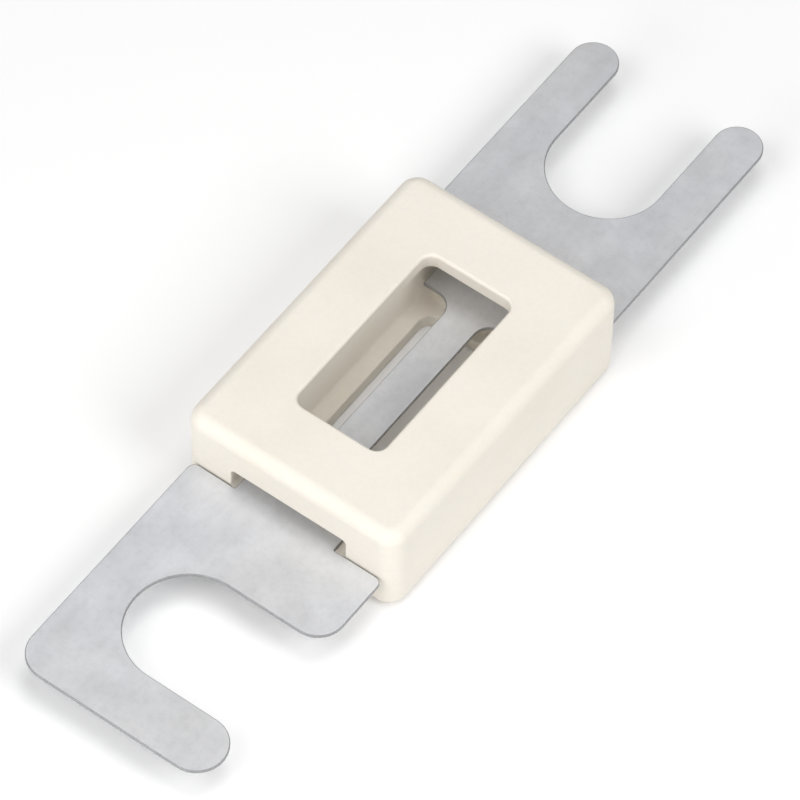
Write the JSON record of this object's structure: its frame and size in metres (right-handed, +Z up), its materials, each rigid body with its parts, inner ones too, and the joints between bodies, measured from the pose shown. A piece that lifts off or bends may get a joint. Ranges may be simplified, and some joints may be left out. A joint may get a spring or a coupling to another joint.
{
  "type": "bolt down strip fuse",
  "caption": "Flat stamped fuse strip with a fork and a hook terminal for bolts, held in a two-part windowed ceramic body.",
  "frame": {"origin": "under the middle of the ceramic body, on the surface it rests on", "axes": "+Y along the strip towards the fork terminal, +Z up through the windows, +X towards the mouth of the side slot"},
  "size_m": [0.0222, 0.082, 0.0105],
  "materials": {
    "strip_metal": "matt rolled zinc sheet",
    "ceramic": "unglazed cream steatite"
  },
  "bodies": {
    "root": {"fuse_strip": "strip_metal", "upper_shell": "ceramic", "lower_shell": "ceramic"}
  },
  "joints": []
}
